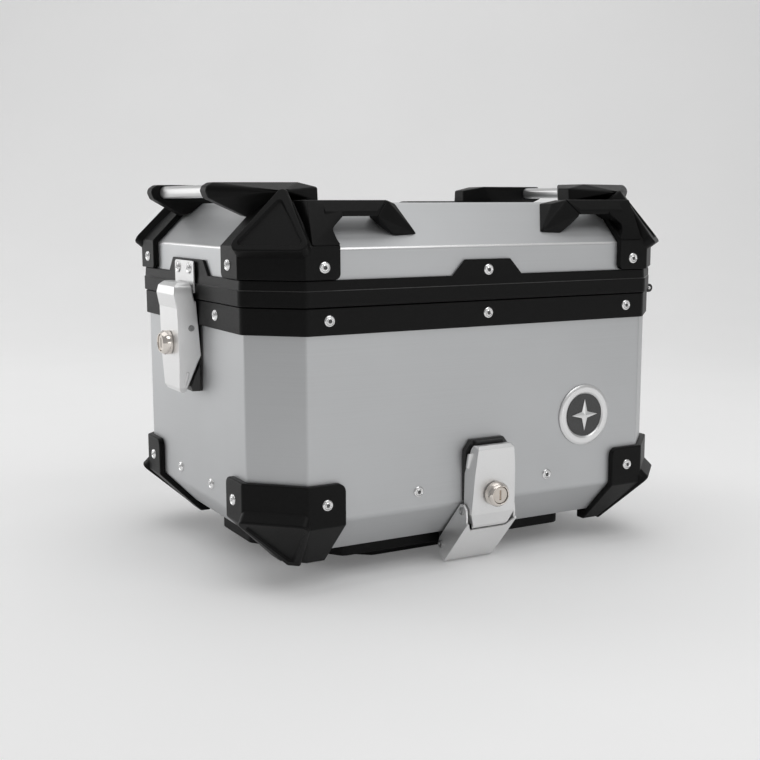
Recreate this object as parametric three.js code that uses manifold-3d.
// Motorcycle top case: a riveted aluminium box with plastic corner guards, a side-hinged lid with
// carrying arms and luggage rails, two keyed draw latches and the mounting plate it clips onto.
// Millimetres, +Z up. The origin is the centre of the plate spacer's flat underside. The base
// latch faces -Y, the lid latch faces -X and the hinge is on +X.
import * as THREE from "three";
import { ConvexGeometry } from "three/addons/geometries/ConvexGeometry.js";
import { mergeVertices } from "three/addons/utils/BufferGeometryUtils.js";
import Module from "manifold-3d";

const wasm = await Module();
wasm.setup();

// ---- driving dimensions -------------------------------------------------------------------------
const HALF_X = 210; // half the box's width
const HALF_Y = 159.5; // half its depth
const CHAMFER = 38; // leg of the 45 degree plan chamfers
const EDGE_RADIUS = 5; // plan radius where two walls meet
const WALL = 1.5; // aluminium sheet
const GAP = 0.3; // air kept between touching pieces
const SKIN = 0.1; // less than any gap, so that a cut runs just past a face
const BODY_BOTTOM = 27;
const BODY_FOLD = 60; // the walls turn in below this height
const BODY_INSET = 32; // how far the bevel comes in at the bottom
const RIM_BOTTOM = 215;
const RIM_SPLIT = 237.7; // the lid parts from the box here
const LID_RIM_CREASE = 251;
const LID_RIM_TOP = 259.6;
const LID_FOLD = 284;
const LID_TOP = 321;
const LID_INSET = LID_TOP - LID_FOLD; // a 45 degree slope
const RIM_OUT = 3.1; // how far the box's rim stands out of the wall
const LID_RIM_OUT = 4.4;
const HORN_TOP = 338;
const RIVET_RADIUS = 4.8;
const SHANK_RADIUS = 2.4;
const HINGE = { x: HALF_X + 9, z: RIM_SPLIT, half: 120, radius: 4, pin: 1.6 };
const BASE_LINK_PIN = { y: -HALF_Y + 30, z: 16 };
const BASE_COVER_PIN = { y: -HALF_Y - 4.5, z: 54.5 };
const BASE_LOCK = { up: 70, face: 17.6, back: 6 };
const LID_LINK_PIN = { x: -HALF_X - 8.4, z: 233 };
const LID_COVER_PIN = { x: -HALF_X - 9.5, z: 212.4 };
const LID_LOCK = { up: 198.5, face: 21.9, back: 16.7 };
const LATCH_PIN = { radius: 2.5, half: 26.2, head: 3.6, headWidth: 1.2 };
const LINK_PIN_RADIUS = 1.6;
const RAIL = { x: 206, z: 331, halfLength: 72, width: 17, height: 11 };
const PLATE = { halfX: 172, halfY: 112, shelf: 13, footHalfX: 104, footHalfY: 84, boltX: 62, boltY: 42 };
const ROUND = 20; // sides of a pin or lock
const CHAMFER_GROWTH = 2 - Math.SQRT2; // change of the chamfer leg per millimetre of offset

// ---- solids -------------------------------------------------------------------------------------
function solid(geometry) {
  const bare = new THREE.BufferGeometry();
  bare.setAttribute("position", geometry.getAttribute("position"));
  if (geometry.index) bare.setIndex(geometry.index);
  const merged = mergeVertices(bare, 1e-4);
  return new wasm.Manifold(
    new wasm.Mesh({
      numProp: 3,
      vertProperties: merged.attributes.position.array,
      triVerts: new Uint32Array(merged.index.array),
    }),
  );
}

function geometryOf(body) {
  const mesh = body.getMesh();
  const positions = new Float32Array(mesh.numVert * 3);
  for (let i = 0; i < mesh.numVert; i++) {
    positions.set(mesh.vertProperties.subarray(i * mesh.numProp, i * mesh.numProp + 3), i * 3);
  }
  const geometry = new THREE.BufferGeometry();
  geometry.setAttribute("position", new THREE.BufferAttribute(positions, 3));
  geometry.setIndex(new THREE.BufferAttribute(mesh.triVerts, 1));
  geometry.computeVertexNormals();
  return geometry;
}

const join = (...bodies) => bodies.reduce((a, b) => a.add(b));
const cut = (body, ...tools) => tools.reduce((a, b) => a.subtract(b), body);

// A block between two opposite corners.
function block(x0, y0, z0, x1, y1, z1) {
  const box = new THREE.BoxGeometry(x1 - x0, y1 - y0, z1 - z0);
  return solid(box.translate((x0 + x1) / 2, (y0 + y1) / 2, (z0 + z1) / 2));
}

// The convex solid around a list of [x, y, z] points.
function hull(points) {
  return solid(new ConvexGeometry(points.map((p) => new THREE.Vector3(...p))));
}

// A round bar between two points.
function bar(from, to, radius, sides = ROUND) {
  const start = new THREE.Vector3(...from);
  const end = new THREE.Vector3(...to);
  const along = end.clone().sub(start);
  const geometry = new THREE.CylinderGeometry(radius, radius, along.length(), sides);
  const up = new THREE.Vector3(0, 1, 0);
  const turn = new THREE.Quaternion().setFromUnitVectors(up, along.normalize());
  geometry.applyQuaternion(turn);
  const middle = start.add(end).multiplyScalar(0.5);
  return solid(geometry.translate(middle.x, middle.y, middle.z));
}

// A turned solid: [radius, height] profile about the local Z axis, then turned to face `axis`.
function turned(profile, at, axis, sides = ROUND) {
  const points = profile.map(([r, h]) => new THREE.Vector2(r, h));
  const geometry = new THREE.LatheGeometry(points, sides);
  const up = new THREE.Vector3(0, 1, 0);
  const turn = new THREE.Quaternion().setFromUnitVectors(up, new THREE.Vector3(...axis).normalize());
  geometry.applyQuaternion(turn);
  return solid(geometry.translate(...at));
}

// Extrudes an outline of [u, v] points. `plane` says which axes u, v and the depth follow.
function plate(outline, from, to, plane) {
  const shape = new THREE.Shape(outline.map(([u, v]) => new THREE.Vector2(u, v)));
  const geometry = new THREE.ExtrudeGeometry(shape, { depth: to - from, bevelEnabled: false });
  geometry.translate(0, 0, from);
  const axes = { xy: [0, 1, 2], xz: [0, 2, 1], yz: [1, 2, 0] }[plane];
  const position = geometry.getAttribute("position");
  for (let i = 0; i < position.count; i++) {
    const old = [position.getX(i), position.getY(i), position.getZ(i)];
    const moved = [0, 0, 0];
    axes.forEach((target, source) => (moved[target] = old[source]));
    position.setXYZ(i, ...moved);
  }
  const flips = plane === "xz";
  const index = [...Array(position.count).keys()];
  for (let i = 0; flips && i < index.length; i += 3) {
    [index[i + 1], index[i + 2]] = [index[i + 2], index[i + 1]];
  }
  geometry.setIndex(index);
  return solid(geometry);
}

// Joins rings of points, each a list of [x, y, z] running counterclockwise seen from above, into
// one closed solid. With `loop` the last ring joins the first, otherwise both ends are capped.
function loft(rings, loop = false) {
  const count = rings[0].length;
  const vertices = rings.flat(2);
  const triangles = [];
  const bands = loop ? rings.length : rings.length - 1;
  for (let r = 0; r < bands; r++) {
    const low = r * count;
    const high = ((r + 1) % rings.length) * count;
    for (let i = 0; i < count; i++) {
      const j = (i + 1) % count;
      triangles.push(low + i, low + j, high + j, low + i, high + j, high + i);
    }
  }
  if (!loop) {
    const cap = (ring) =>
      THREE.ShapeUtils.triangulateShape(ring.map(([x, y]) => new THREE.Vector2(x, y)), []);
    const top = (rings.length - 1) * count;
    for (const [a, b, c] of cap(rings[0])) triangles.push(a, c, b);
    for (const [a, b, c] of cap(rings[rings.length - 1])) triangles.push(top + a, top + b, top + c);
  }
  const geometry = new THREE.BufferGeometry();
  geometry.setAttribute("position", new THREE.BufferAttribute(new Float32Array(vertices), 3));
  geometry.setIndex(triangles);
  return solid(geometry);
}

// ---- the case's plan outline --------------------------------------------------------------------
// The eight-sided outline at `inset` millimetres inside the walls, with rounded corners.
function outline(inset, z) {
  const x = HALF_X - inset;
  const y = HALF_Y - inset;
  const leg = CHAMFER - CHAMFER_GROWTH * inset;
  const radius = Math.max(EDGE_RADIUS - inset, 0.8);
  const corners = [
    [x, y - leg],
    [x - leg, y],
    [leg - x, y],
    [-x, y - leg],
    [-x, leg - y],
    [leg - x, -y],
    [x - leg, -y],
    [x, leg - y],
  ];
  const ring = [];
  const steps = 2;
  const turn = Math.PI / 4;
  corners.forEach(([cx, cy], k) => {
    const start = k * turn; // direction the wall before this corner faces
    const reach = radius / Math.cos(turn / 2);
    const middle = start + turn / 2;
    const ox = cx - reach * Math.cos(middle);
    const oy = cy - reach * Math.sin(middle);
    for (let s = 0; s <= steps; s++) {
      const a = start + (turn * s) / steps;
      ring.push([ox + radius * Math.cos(a), oy + radius * Math.sin(a), z]);
    }
  });
  return ring;
}

// The lid's outer form grown by `grow`, used to fit pieces to it.
function lidForm(grow) {
  return loft([
    outline(-grow, LID_RIM_TOP - 30),
    outline(-grow, LID_FOLD + 0.4 * grow),
    outline(LID_INSET - grow, LID_TOP + 0.4 * grow),
    outline(LID_INSET - grow + 0.6 * grow, LID_TOP + grow),
  ]);
}

// The body's outer form grown by `grow`.
function bodyForm(grow) {
  return loft([
    outline(BODY_INSET - 0.6 * grow, BODY_BOTTOM - grow),
    outline(-grow, BODY_FOLD - 0.4 * grow),
    outline(-grow, RIM_SPLIT),
  ]);
}

// ---- rivets -------------------------------------------------------------------------------------
// Where blind rivets pin a piece: a surface point and the direction the head faces, for one corner
// of the case in the quadrant x > 0, y > 0.
const BASE_CORNER_RIVETS = [
  { at: [157, HALF_Y + 5.8, 76.5], axis: [0, 1, 0] },
  { at: [HALF_X + 5.8, 105, 75.5], axis: [1, 0, 0] },
];
const LID_CORNER_RIVETS = [
  { at: [157.5, HALF_Y + 5.8, 270], axis: [0, 1, 0] },
  { at: [HALF_X + 5.8, 104, 271], axis: [1, 0, 0] },
];

function shankHole({ at, axis }) {
  const end = at.map((v, i) => v - 12 * axis[i]);
  const start = at.map((v, i) => v + 2 * axis[i]);
  return bar(start, end, SHANK_RADIUS + GAP, 8);
}

function rivet() {
  const profile = [
    [0, -8.5],
    [SHANK_RADIUS, -8.5],
    [SHANK_RADIUS, GAP],
    [RIVET_RADIUS, GAP],
    [RIVET_RADIUS - 0.2, 1.2],
    [2.9, 2.2],
    [1.4, 2.3],
    [1.2, 1.2],
    [0, 1.2],
  ];
  return turned(profile, [0, 0, 0], [0, 1, 0], 10);
}

// ---- aluminium box ------------------------------------------------------------------------------
const SIGNS = [
  { name: "fl", x: -1, y: -1 },
  { name: "fr", x: 1, y: -1 },
  { name: "bl", x: -1, y: 1 },
  { name: "br", x: 1, y: 1 },
];

function atAllCorners(rivets, make) {
  return SIGNS.flatMap((s) =>
    rivets.map(({ at, axis }) =>
      make({
        at: [at[0] * s.x, at[1] * s.y, at[2]],
        axis: [axis[0] * s.x, axis[1] * s.y, axis[2]],
      }),
    ),
  );
}

function boxShell() {
  const top = RIM_SPLIT - 2.8;
  const shell = loft([
    outline(BODY_INSET, BODY_BOTTOM),
    outline(0, BODY_FOLD),
    outline(0, top),
    outline(WALL, top),
    outline(WALL, BODY_FOLD + 0.6),
    outline(BODY_INSET + 0.6, BODY_BOTTOM + WALL),
  ]);
  return cut(shell, ...atAllCorners(BASE_CORNER_RIVETS, shankHole));
}

function boxRim() {
  return loft(
    [
      outline(-GAP, RIM_BOTTOM),
      outline(-RIM_OUT, RIM_BOTTOM + 0.4),
      outline(-RIM_OUT, RIM_SPLIT - 0.4),
      outline(6.5, RIM_SPLIT - 0.4),
      outline(6.5, RIM_SPLIT - 2.5),
      outline(-GAP, RIM_SPLIT - 2.5),
    ],
    true,
  );
}

function rimGasket() {
  return loft(
    [
      outline(6, RIM_SPLIT - 0.1),
      outline(1, RIM_SPLIT - 0.1),
      outline(1.6, RIM_SPLIT + 2),
      outline(5.4, RIM_SPLIT + 2),
    ],
    true,
  );
}

function floorMat() {
  const inside = BODY_INSET + 4;
  return loft([
    outline(inside, BODY_BOTTOM + WALL + GAP),
    outline(inside, BODY_BOTTOM + WALL + GAP + 3),
  ]);
}

// ---- base corner guards, made in the quadrant x > 0, y > 0 --------------------------------------
const GUARD = {
  thick: 5.5,
  flankX: 139.5,
  flankY: 88,
  top: 93,
  foot: 16,
  padTop: 67,
  padOut: 11.5,
};

// Cross-section at one height: the strip between `inner` and `outer` offsets that wraps the corner.
function wrapSection(inner, outer, fromX, fromY, z) {
  const path = (offset) => {
    const leg = CHAMFER + CHAMFER_GROWTH * offset;
    const x = HALF_X + offset;
    const y = HALF_Y + offset;
    return [
      [x, fromY, z],
      [x, y - leg, z],
      [x - leg, y, z],
      [fromX, y, z],
    ];
  };
  return [...path(outer), ...path(inner).reverse()];
}

// A point on the chamfer: u runs along it, out is the offset from the wall.
function onChamfer(u, out, z) {
  const centre = (HALF_X + HALF_Y - CHAMFER) * 0.5;
  const skew = (HALF_X - HALF_Y) / 2;
  const reach = out * Math.SQRT1_2;
  const side = u * Math.SQRT1_2;
  return [centre + skew + reach + side, centre - skew + reach - side, z];
}

function baseCorner() {
  const { thick, flankX, flankY, top, foot, padTop, padOut } = GUARD;
  const bevel = (z) => thick + z - (BODY_FOLD - 2.3);
  const wrap = loft([
    wrapSection(-46, bevel(foot), flankX, flankY, foot),
    wrapSection(-46, bevel(BODY_FOLD - 2.3), flankX, flankY, BODY_FOLD - 2.3),
    wrapSection(-46, thick, flankX, flankY, top - 1.2),
    wrapSection(-46, thick - 1.2, flankX, flankY, top),
  ]);
  const lift = padOut - 60;
  const padFoot = foot - 4;
  const pad = hull([
    onChamfer(-32, padOut, padTop - 1),
    onChamfer(32, padOut, padTop - 1),
    onChamfer(-31, padOut - 4, padTop),
    onChamfer(31, padOut - 4, padTop),
    onChamfer(-32, padOut, 60),
    onChamfer(32, padOut, 60),
    onChamfer(-7, lift + padFoot, padFoot),
    onChamfer(7, lift + padFoot, padFoot),
    onChamfer(-24, 1, padTop),
    onChamfer(24, 1, padTop),
    onChamfer(-6, lift + padFoot - 8, padFoot),
    onChamfer(6, lift + padFoot - 8, padFoot),
  ]);
  const recess = hull([
    onChamfer(-21, padOut - 1.5, 59),
    onChamfer(21, padOut - 1.5, 59),
    onChamfer(-21, padOut + 4, 59),
    onChamfer(21, padOut + 4, 59),
    onChamfer(-3, lift + 26 - 1.5, 26),
    onChamfer(3, lift + 26 - 1.5, 26),
    onChamfer(-3, lift + 32, 26),
    onChamfer(3, lift + 32, 26),
  ]);
  // The box's own form is taken out, and the middle of the foot is cleared for the mounting plate.
  const inside = block(0, 0, -1, flankX - SKIN, flankY - SKIN, 200);
  const topTrim = (flank) => [[flank - 1, top + 1], [flank + 7, top + 1], [flank - 1, top - 7]];
  const trims = [
    plate(topTrim(flankX), HALF_Y - 1, HALF_Y + 8, "xz"),
    plate(topTrim(flankY), HALF_X - 1, HALF_X + 8, "yz"),
  ];
  const holes = BASE_CORNER_RIVETS.map(shankHole);
  return cut(join(wrap, pad), recess, inside, bodyForm(GAP), ...trims, ...holes);
}

// ---- lid ----------------------------------------------------------------------------------------
function lidShell() {
  const bottom = RIM_SPLIT + 4;
  const shell = loft([
    outline(LID_INSET + 0.6, LID_TOP - WALL),
    outline(WALL, LID_FOLD - 0.6),
    outline(WALL, bottom),
    outline(0, bottom),
    outline(0, LID_FOLD),
    outline(LID_INSET, LID_TOP),
  ]);
  return cut(shell, ...atAllCorners(LID_CORNER_RIVETS, shankHole));
}

function lidRim() {
  const flange = RIM_SPLIT + 2.3;
  const ring = loft(
    [
      outline(-GAP, LID_RIM_TOP),
      outline(-GAP, flange + 1.4),
      outline(6.5, flange + 1.4),
      outline(6.5, flange),
      outline(-0.6, flange),
      outline(-0.6, RIM_SPLIT + 0.3),
      outline(-LID_RIM_OUT, RIM_SPLIT + 0.3),
      outline(-LID_RIM_OUT, LID_RIM_CREASE),
      outline(-3, LID_RIM_TOP),
    ],
    true,
  );
  const tab = (half, shoulder, height, z0) => [
    [-half, z0],
    [half, z0],
    [shoulder, height],
    [-shoulder, height],
  ];
  const front = tab(38, 23, 273, LID_RIM_TOP - 3);
  const side = tab(53, 39, 272.5, LID_RIM_TOP - 3);
  return join(
    ring,
    plate(front, -HALF_Y - 3, -HALF_Y - GAP, "xz"),
    plate(front, HALF_Y + GAP, HALF_Y + 3, "xz"),
    plate(side, -HALF_X - 3, -HALF_X - GAP, "yz"),
    plate(side, HALF_X + GAP, HALF_X + 3, "yz"),
  );
}

// ---- lid corner: flank block, triangular pad, horn that holds the rail, carrying arm ------------
function lidCorner() {
  const base = LID_RIM_TOP + GAP;
  const flanks = loft([
    wrapSection(-46, 5.5, 143, 88, base),
    wrapSection(-46, 5.5, 143, 88, LID_FOLD + 2.2),
    wrapSection(-46, 5.5 - 36, 143, 88, LID_FOLD + 2.2 + 36),
  ]);
  const padLow = LID_FOLD - 0.5;
  const pad = hull([
    onChamfer(-35.5, 9.5, padLow),
    onChamfer(35.5, 9.5, padLow),
    onChamfer(-34, 11.5, padLow + 3),
    onChamfer(34, 11.5, padLow + 3),
    onChamfer(-5, -20.5, 329),
    onChamfer(5, -20.5, 329),
    onChamfer(0, -22, 331),
    onChamfer(0, -60, 322),
    onChamfer(-26, -8, padLow),
    onChamfer(26, -8, padLow),
  ]);
  const recess = hull([
    onChamfer(-21, 8.6, 292),
    onChamfer(21, 8.6, 292),
    onChamfer(-21, 16, 292),
    onChamfer(21, 16, 292),
    onChamfer(0, -17.2, 323),
    onChamfer(0, -8, 323),
  ]);
  const horn = hull([
    [219, 79, HORN_TOP],
    [150, 101, HORN_TOP],
    [146, 64, HORN_TOP],
    [219, 64, HORN_TOP],
    [226, 78, 332],
    [226, 64, 332],
    [223, 78, 325],
    [223, 64, 325],
    [174.5, 124, 330.5],
    [190, 73, 310],
    [190, 86, 309],
    [158, 64, 321],
    [132, 102, 322],
    [132, 101, 334],
    [132, 84, 334],
    [132, 84, 322],
  ]);
  const arm = hull([
    [92, 149, 323],
    [152, 149, 323],
    [92, 136, 323],
    [152, 136, 323],
    [104, 155.5, 314],
    [152, 155.5, 314],
    [104, 155.5, 310],
    [152, 155.5, 310],
    [104, 145, 310],
    [152, 145, 310],
  ]);
  const armTip = hull([
    [92, 149, 323],
    [81, 143, 320],
    [92, 134, 323],
    [81, 122, 319.5],
    [64, 150, 295],
    [64, 144, 295],
    [85, 150, 293],
    [85, 144, 294],
    [98, 149, 301],
    [104, 155.5, 310],
    [104, 138, 310],
  ]);
  const shoulder = hull([
    [135, 149, 323],
    [135, 155.5, 314],
    [135, 155.5, 310],
    [141.5, 150, 296],
    [160, 150, 296],
    [165, 149, 323],
    [165, 100, 323],
    [135, 110, 323],
    [141.5, 130, 296],
  ]);
  const socket = railBody(GAP);
  const body = join(flanks, pad, horn, arm, armTip, shoulder);
  const clearOfLid = cut(body, lidForm(GAP), block(-10, -10, 0, 142.9, 200, LID_FOLD + 2));
  const side = block(0, 0, 0, 300, 87.9, LID_FOLD + 24);
  return cut(clearOfLid, side, recess, socket, ...LID_CORNER_RIVETS.map(shankHole));
}

// A luggage rail: a flat aluminium tube along Y, grown by `grow` to make its sockets.
function railBody(grow) {
  const w = RAIL.width / 2 + grow;
  const h = RAIL.height / 2 + grow;
  const shape = [];
  for (let i = 0; i < 16; i++) {
    const a = (2 * Math.PI * (i + 0.5)) / 16;
    const x = Math.sign(Math.cos(a)) * w * Math.abs(Math.cos(a)) ** 0.5;
    const z = Math.sign(Math.sin(a)) * h * Math.abs(Math.sin(a)) ** 0.5;
    shape.push([RAIL.x + x, RAIL.z + z]);
  }
  return plate(shape, -RAIL.halfLength - grow, RAIL.halfLength + grow, "xz");
}

// ---- hinge on +X --------------------------------------------------------------------------------
const KNUCKLES = 5;

function knuckles(first) {
  const length = (2 * HINGE.half) / KNUCKLES;
  const made = [];
  for (let k = first; k < KNUCKLES; k += 2) {
    const y = -HINGE.half + k * length;
    made.push({ from: y + 0.3, to: y + length - 0.3 });
  }
  return made;
}

// One leaf: a sheet on the rim, below the pin for side -1 and above it for side 1, with knuckles.
function hingeLeaf(first, side) {
  const { x, z, half, radius, pin } = HINGE;
  const wall = HALF_X + (side < 0 ? RIM_OUT : LID_RIM_OUT) + GAP;
  const thick = 2;
  const slab = (fromY, toY, near, far, xEnd) => {
    const [low, high] = [z + side * near, z + side * far].sort((a, b) => a - b);
    return block(wall, fromY, low, xEnd, toY, high);
  };
  const barrels = knuckles(first).flatMap(({ from, to }) => [
    bar([x, from, z], [x, to, z], radius, 14),
    slab(from, to, 0, radius, x - 1),
    slab(from, to, 2, 6, wall + thick),
  ]);
  const sheet = slab(-half, half, 4.6, 22, wall + thick);
  const hole = bar([x, -half - 1, z], [x, half + 1, z], pin + GAP, 12);
  return cut(join(sheet, ...barrels), hole);
}

function hingePin() {
  const { x, z, half, pin } = HINGE;
  return bar([x, -half, z], [x, half, z], pin, 12);
}

// ---- latches ------------------------------------------------------------------------------------
// Latch pieces are drawn as [across, out, up]: `out` is the distance from the wall they stand on.
// `place` turns that into the case's axes, for the latch on the front wall or on the left one.
const onFront = ([across, out, up]) => [across, -HALF_Y - out, up];
const onLeft = ([across, out, up]) => [-HALF_X - out, -across, up];

// A die-cast shell: the hull of its outer sections, less the hull of its hollow.
function coverShell(place, sections, hollow) {
  const body = hull(sections.map(place));
  const bay = hull(hollow.map(place));
  return cut(body, bay);
}

// The corners of a level section of a cover: half width at the face and at the back.
function level(up, faceHalf, faceOut, backHalf, backOut) {
  return [
    [-faceHalf, faceOut, up],
    [faceHalf, faceOut, up],
    [-backHalf, backOut, up],
    [backHalf, backOut, up],
  ];
}

function baseCover() {
  const body = coverShell(
    onFront,
    [
      ...level(113, 16, 16, 19, 11),
      ...level(110, 18.5, 18.5, 20, 9),
      ...level(98, 20, 18, 22, 8),
      ...level(88, 21, 17, 23, 3.5),
      ...level(52, 22.5, 14.3, 23, 2),
      ...level(41, 18, 10.4, 19, 3),
      ...level(38.2, 17, 6.8, 17.5, 3),
    ],
    [
      ...level(108, 15.5, 15.5, 17, -2),
      ...level(60, 19, 13, 20, -2),
      ...level(44, 19, 9.6, 20, -2),
      ...level(36, 19, 4.6, 20, -2),
    ],
  );
  const thumbTabs = [-1, 1].map((s) =>
    hull(
      [
        [s * 20, 13, 107],
        [s * 24, 12, 106],
        [s * 20, 10, 107],
        [s * 24, 9, 106],
        [s * 21, 9, 92],
        [s * 24, 8.5, 93],
        [s * 21, 6, 92],
        [s * 24, 6, 93],
      ].map(onFront),
    ),
  );
  const { y, z } = BASE_COVER_PIN;
  const pinHole = bar([-40, y, z], [40, y, z], LATCH_PIN.radius + GAP, 12);
  return cut(join(body, ...thumbTabs), pinHole, lockHole(onFront, BASE_LOCK.up));
}

function lidCover() {
  const head = coverShell(
    onLeft,
    [
      ...level(252.5, 18, 19, 21, 10),
      ...level(249, 22, 23.3, 24, 8),
      ...level(242, 24, 24.5, 25.5, 8),
      ...level(230, 24, 22.2, 25.5, 5),
    ],
    [...level(248, 18, 18, 21, -2), ...level(226, 18, 16, 21.5, -2)],
  );
  const foot = coverShell(
    onLeft,
    [
      ...level(236, 24, 22, 25.5, 5),
      ...level(188, 24, 21, 25.5, 1.5),
      ...level(182, 23.5, 20.8, 25, 5),
      ...level(159, 20, 20.3, 21, 13.5),
      ...level(155, 18, 18.3, 19, 14),
    ],
    [...level(250, 18, 16.5, 21.5, -2), ...level(158, 15, 15.5, 17, -2)],
  );
  const thumbTabs = [-1, 1].map((s) =>
    hull(
      [
        [s * 19, 15, 173],
        [s * 24.5, 14, 173],
        [s * 19, 11.5, 173],
        [s * 24.5, 11.5, 173],
        [s * 18, 17, 160],
        [s * 21.5, 16, 161],
        [s * 18, 14, 160],
        [s * 21.5, 14, 161],
      ].map(onLeft),
    ),
  );
  const { x, z } = LID_COVER_PIN;
  const pinHole = bar([x, -40, z], [x, 40, z], LATCH_PIN.radius + GAP, 12);
  return cut(join(head, foot, ...thumbTabs), pinHole, lockHole(onLeft, LID_LOCK.up));
}

const LOCK = { barrel: 8.6, plug: 7.2, flange: 10.8, proud: 9.3, floor: 1.2, keyHalf: 4.2, keySlot: 0.9 };

function lockHole(place, up) {
  return bar(place([0, 4, up]), place([0, 40, up]), LOCK.barrel + GAP);
}

// A lock barrel: a flange outside the cover and a barrel through it, bored for the plug.
function lockBarrel(place, { up, face, back }) {
  const { barrel, plug, flange, proud, floor } = LOCK;
  const outward = place([0, 1, 0]).map((v, i) => v - place([0, 0, 0])[i]);
  const profile = [[0, 0], [flange, 0], [flange, proud - 2.2], [flange - 2.2, proud], [0, proud]];
  const shape = join(
    turned(profile, place([0, face, up]), outward, 28),
    bar(place([0, back, up]), place([0, face + 2, up]), barrel, 24),
  );
  return cut(shape, bar(place([0, back + floor, up]), place([0, face + 12, up]), plug + GAP, 24));
}

function lockPlug(place, { up, face, back }) {
  const { plug, proud, floor, keyHalf, keySlot } = LOCK;
  const body = bar(place([0, back + floor + GAP, up]), place([0, face + proud - 0.2, up]), plug, 24);
  const low = place([-keySlot, face + 4, up - keyHalf]);
  const high = place([keySlot, face + 12, up + keyHalf]);
  const lows = low.map((v, i) => Math.min(v, high[i]));
  const highs = low.map((v, i) => Math.max(v, high[i]));
  return cut(body, block(...lows, ...highs));
}

// ---- base latch: bracket, link and pins ---------------------------------------------------------
function baseLatchBracket() {
  const back = hull(
    [
      ...level(117, 17, 4, 17, GAP),
      ...level(108, 23.5, 5, 24, GAP),
      ...level(63, 23.5, 1.6, 23.5, GAP),
    ].map(onFront),
  );
  const head = hull([...level(116, 14, 8.6, 15, 2), ...level(102, 14, 6.4, 15, 2)].map(onFront));
  const strike = hull([...level(84, 6, 6, 8, 1), ...level(76, 6, 6, 8, 1)].map(onFront));
  return join(back, head, strike);
}

// Two lugs under the box that hold the link's lower pin, on one foot.
function baseLatchLugs() {
  const { y, z } = BASE_LINK_PIN;
  const top = BODY_BOTTOM - GAP;
  const half = 22.5;
  const thick = 2.5;
  const foot = block(-half, y - 6, top - 3, half, y + 12, top);
  const side = [
    [y - 6, top],
    [y + 12, top],
    [y + 5, z - 3],
    [y, z - 5.5],
    [y - 5, z - 3],
    [y - 6, z + 3],
  ];
  const lugs = [plate(side, -half, thick - half, "yz"), plate(side, half - thick, half, "yz")];
  return cut(join(foot, ...lugs), bar([-40, y, z], [40, y, z], LATCH_PIN.radius + GAP, 12));
}

// The link is a bent plate: two side arms on the pins and a sloping front with a hooked lip. Points
// are drawn along the line between the pins (`a` from one of them) and out from it (`o`).
function baseLink() {
  const low = BASE_LINK_PIN;
  const high = BASE_COVER_PIN;
  const along = new THREE.Vector2(high.y - low.y, high.z - low.z).normalize();
  const outward = new THREE.Vector2(-along.y, along.x).multiplyScalar(along.x < 0 ? 1 : -1);
  const point = (origin, a, o) => [
    origin.y + along.x * a + outward.x * o,
    origin.z + along.y * a + outward.y * o,
  ];
  const arm = [
    point(low, -6.5, -3),
    point(low, -9, 4),
    point(low, -7.5, 13.6),
    point(high, -6, 13.6),
    point(high, 1, 8),
    point(high, 5.6, 3),
    point(high, 5.6, -3),
    point(high, 2, -6.2),
    point(low, 2, -6.4),
  ];
  const inner = 23.9;
  const outer = 25.9;
  const sides = [plate(arm, -outer, -inner, "yz"), plate(arm, inner, outer, "yz")];
  const front = [
    point(low, -7.5, 11.6),
    point(low, -7.5, 13.6),
    point(high, -12.5, 13.6),
    point(high, -12.5, 11.6),
  ];
  const lip = [
    point(low, -7.5, 11.6),
    point(low, -7.5, 13.6),
    point(low, -9.2, 5),
    point(low, -7.2, 4.6),
  ];
  const sheets = [front, lip].map((shape) => plate(shape, -25, 25, "yz"));
  const holes = [low, high].map(({ y, z }) => bar([-40, y, z], [40, y, z], LATCH_PIN.radius + GAP, 12));
  return cut(join(...sides, ...sheets), ...holes);
}

// A latch pin along X with a flat head at each end.
function latchPin({ y, z }) {
  const { radius, half, head, headWidth } = LATCH_PIN;
  const shank = bar([-half, y, z], [half, y, z], radius, 12);
  const heads = [-1, 1].map((s) =>
    bar([s * half, y, z], [s * (half + headWidth), y, z], head, 12),
  );
  return join(shank, ...heads);
}

// ---- lid latch: bracket, link, pins and the catch on the lid ------------------------------------
// A bar along Y through one of the lid latch's pivots.
function alongY({ x, z }, half, radius, sides = 12) {
  return bar([x, -half, z], [x, half, z], radius, sides);
}

// A sheet on the wall with a wedge at its foot, and a post up the rim whose two ears hold the link.
function lidLatchBracket() {
  const low = 156;
  const knee = 180;
  const sheet = hull(
    [
      ...level(RIM_BOTTOM - GAP, 26.5, 1.2, 26.5, GAP),
      ...level(low, 24, 1.2, 24, GAP),
      ...level(knee, 26.5, 1.2, 26.5, GAP),
    ].map(onLeft),
  );
  const wedge = hull(
    [
      ...level(low - 0.5, 19, 8, 21, 1),
      ...level(low + 4, 19, 9, 21, 1),
      ...level(knee, 19, 1.4, 21, 1),
    ].map(onLeft),
  );
  const half = 15;
  const face = -HALF_X - 4.9;
  const post = block(face + SKIN, -half, RIM_BOTTOM - 12, -HALF_X - GAP, half, RIM_BOTTOM - GAP);
  const onRim = block(face, -half, RIM_BOTTOM - 4, -HALF_X - RIM_OUT - GAP, half, RIM_SPLIT - 1);
  const { x, z } = LID_LINK_PIN;
  const ear = [
    [-HALF_X - 4, z - 11],
    [-HALF_X - 4, RIM_SPLIT - 1],
    [x, z + 3.6],
    [x - 3.4, z],
    [x - 2, z - 4],
  ];
  const ears = [plate(ear, -half, 3 - half, "xz"), plate(ear, half - 3, half, "xz")];
  const hole = alongY(LID_LINK_PIN, 30, LINK_PIN_RADIUS + GAP);
  return cut(join(sheet, wedge, post, onRim, ...ears), hole);
}

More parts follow.
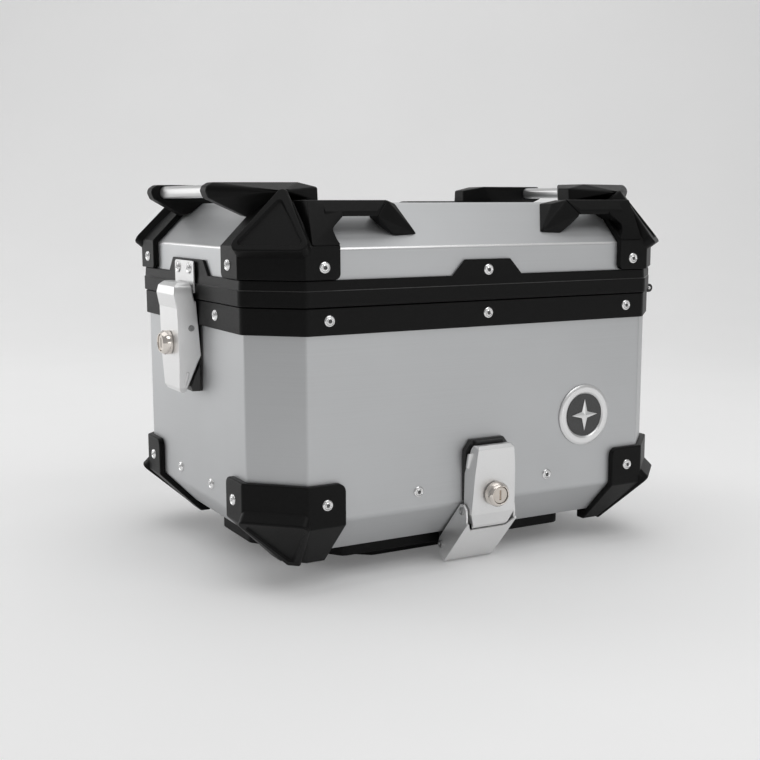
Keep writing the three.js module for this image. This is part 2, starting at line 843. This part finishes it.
function lidLatchLink() {
  const half = 11.5;
  const low = LID_COVER_PIN;
  const arm = join(
    alongY(LID_LINK_PIN, half, 3, 14),
    alongY(low, half, 4.2, 14),
    block(low.x - 1.4, -half, low.z, low.x + 1.6, half, LID_LINK_PIN.z),
  );
  const linkHole = alongY(LID_LINK_PIN, 20, LINK_PIN_RADIUS + GAP);
  const coverHole = alongY(low, 20, LATCH_PIN.radius + GAP);
  return cut(arm, linkHole, coverHole);
}

// The sheet on the lid's rim that the latch cover closes over.
function catchPlate() {
  const back = -HALF_X - LID_RIM_OUT - GAP;
  return block(back - 1.6, -24, 243, back, 24, 271);
}

// ---- badge --------------------------------------------------------------------------------------
const BADGE = { x: 108.5, z: 127.5, radius: 28, bore: 20, disc: 19.5 };

function badgeRing() {
  const { radius, bore, x, z } = BADGE;
  const profile = [
    [bore, GAP],
    [radius, GAP],
    [radius, 1.4],
    [radius - 2.5, 2.6],
    [bore + 1.5, 2.6],
    [bore, 1.4],
    [bore, GAP],
  ];
  return turned(profile, [x, -HALF_Y, z], [0, -1, 0], 40);
}

function badgeDisc() {
  const profile = [[0, GAP], [BADGE.disc, GAP], [BADGE.disc, 1.5], [0, 1.5]];
  return turned(profile, [BADGE.x, -HALF_Y, BADGE.z], [0, -1, 0], 32);
}

// A plain four-point compass star.
function badgeStar() {
  const points = [];
  const tip = 14.5;
  const waist = 4.5;
  for (let i = 0; i < 8; i++) {
    const radius = i % 2 ? waist : tip;
    const a = (Math.PI * i) / 4;
    points.push([BADGE.x + radius * Math.cos(a), BADGE.z + radius * Math.sin(a)]);
  }
  return plate(points, -HALF_Y - 3, -HALF_Y - 1.8, "xz");
}

// ---- mounting plate -----------------------------------------------------------------------------
// An eight-sided outline with its corners cut back by [cutX, cutY].
function eightSided(halfX, halfY, cutX, cutY) {
  return [
    [halfX, cutY - halfY],
    [halfX, halfY - cutY],
    [halfX - cutX, halfY],
    [cutX - halfX, halfY],
    [-halfX, halfY - cutY],
    [-halfX, cutY - halfY],
    [cutX - halfX, -halfY],
    [halfX - cutX, -halfY],
  ];
}

const PLATE_BOLTS = SIGNS.map((s) => ({ name: s.name, x: s.x * PLATE.boltX, y: s.y * PLATE.boltY }));

// The shelf that the case stands on, with the tongue that the base latch hooks, and counterbores.
function mountingPlate() {
  const { halfX, halfY, shelf: bottom } = PLATE;
  const top = BODY_BOTTOM - GAP;
  const shelf = plate(eightSided(halfX, halfY, 56, 80), bottom, top, "xy");
  const tongue = block(-18, -halfY - 9, bottom, 18, 1 - halfY, bottom + 4);
  const holes = PLATE_BOLTS.flatMap(({ x, y }) => [
    bar([x, y, bottom - 1], [x, y, top], 3.4, 12),
    bar([x, y, top - 6.7], [x, y, top + 1], 7.3, 16),
  ]);
  return cut(join(shelf, tongue), ...holes);
}

// The spacer between the plate and the rack.
function plateSpacer() {
  const { footHalfX, footHalfY, shelf } = PLATE;
  const block8 = plate(eightSided(footHalfX, footHalfY, 32, 26), 0, shelf - GAP, "xy");
  return cut(block8, ...PLATE_BOLTS.map(({ x, y }) => bar([x, y, -1], [x, y, shelf], 3.4, 12)));
}

function plateBolt({ x, y }) {
  const seat = 20.3;
  const head = bar([x, y, seat], [x, y, seat + 4.2], 7, 16);
  const socket = bar([x, y, seat + 1.7], [x, y, seat + 5], 2.8, 6);
  return join(bar([x, y, 0.5], [x, y, seat + 0.7], 3.1, 12), cut(head, socket));
}

// ---- the scene graph ----------------------------------------------------------------------------
const finish = (color, roughness, metalness) => () =>
  new THREE.MeshStandardMaterial({ color, roughness, metalness });
const aluminium = finish(0xb9bbbf, 0.42, 0.9);
const blackPlastic = finish(0x17181a, 0.55, 0);
const silverCast = finish(0xc6c8ca, 0.38, 0.75);
const steel = finish(0xd5d5d2, 0.25, 1);
const blackSteel = finish(0x1c1d1f, 0.5, 0.6);
const nickel = finish(0xcabfae, 0.22, 1);
const rubber = finish(0x0f0f10, 0.85, 0);

const topCase = new THREE.Group();

function add(name, body, material, parent = topCase) {
  const mesh = new THREE.Mesh(geometryOf(body), material());
  mesh.name = name;
  parent.add(mesh);
  return mesh;
}

add("mounting_plate", mountingPlate(), blackPlastic);
add("plate_spacer", plateSpacer(), blackPlastic);
for (const bolt of PLATE_BOLTS) add(`plate_bolt_${bolt.name}`, plateBolt(bolt), steel);
add("box_shell", boxShell(), aluminium);
add("box_rim", boxRim(), blackPlastic);
add("rim_gasket", rimGasket(), rubber);
add("floor_mat", floorMat(), rubber);
add("lid_shell", lidShell(), aluminium);
add("lid_rim", lidRim(), blackPlastic);

// Corners and their rivets: one quadrant's solids, mirrored by the group they stand in.
const cornerSolids = { base_corner: baseCorner(), lid_corner: lidCorner() };
const rivetSolid = rivet();
const headUp = new THREE.Vector3(0, 1, 0);
for (const sign of SIGNS) {
  const quadrant = new THREE.Group();
  quadrant.scale.set(sign.x, sign.y, 1);
  topCase.add(quadrant);
  add(`base_corner_${sign.name}`, cornerSolids.base_corner, blackPlastic, quadrant);
  add(`lid_corner_${sign.name}`, cornerSolids.lid_corner, blackPlastic, quadrant);
  const sets = { base_rivet: BASE_CORNER_RIVETS, lid_rivet: LID_CORNER_RIVETS };
  for (const [kind, places] of Object.entries(sets)) {
    places.forEach(({ at, axis }, i) => {
      const mesh = add(`${kind}_${sign.name}_${i ? "side" : "end"}`, rivetSolid, steel, quadrant);
      mesh.position.set(...at);
      mesh.quaternion.setFromUnitVectors(headUp, new THREE.Vector3(...axis));
    });
  }
}

for (const [side, direction] of [["left", -1], ["right", 1]]) {
  const half = new THREE.Group();
  half.scale.set(direction, 1, 1);
  topCase.add(half);
  add(`rail_${side}`, railBody(0), aluminium, half);
}

add("hinge_leaf_box", hingeLeaf(0, -1), blackSteel);
add("hinge_leaf_lid", hingeLeaf(1, 1), blackSteel);
add("hinge_pin", hingePin(), steel);

add("badge_ring", badgeRing(), silverCast);
add("badge_disc", badgeDisc(), blackPlastic);
add("badge_star", badgeStar(), silverCast);

add("base_latch_bracket", baseLatchBracket(), blackSteel);
add("base_latch_lugs", baseLatchLugs(), blackSteel);
add("base_latch_link", baseLink(), silverCast);
add("base_link_pin", latchPin(BASE_LINK_PIN), steel);
add("base_cover_pin", latchPin(BASE_COVER_PIN), steel);
add("base_latch_cover", baseCover(), silverCast);
add("base_lock_barrel", lockBarrel(onFront, BASE_LOCK), nickel);
add("base_lock_plug", lockPlug(onFront, BASE_LOCK), nickel);

add("catch_plate", catchPlate(), steel);
add("lid_latch_bracket", lidLatchBracket(), blackSteel);
add("lid_latch_link", lidLatchLink(), blackSteel);
add("lid_link_pin", alongY(LID_LINK_PIN, 15, LINK_PIN_RADIUS), steel);
add("lid_cover_pin", alongY(LID_COVER_PIN, 26, LATCH_PIN.radius), steel);
add("lid_latch_cover", lidCover(), silverCast);
add("lid_lock_barrel", lockBarrel(onLeft, LID_LOCK), nickel);
add("lid_lock_plug", lockPlug(onLeft, LID_LOCK), nickel);

export default topCase;
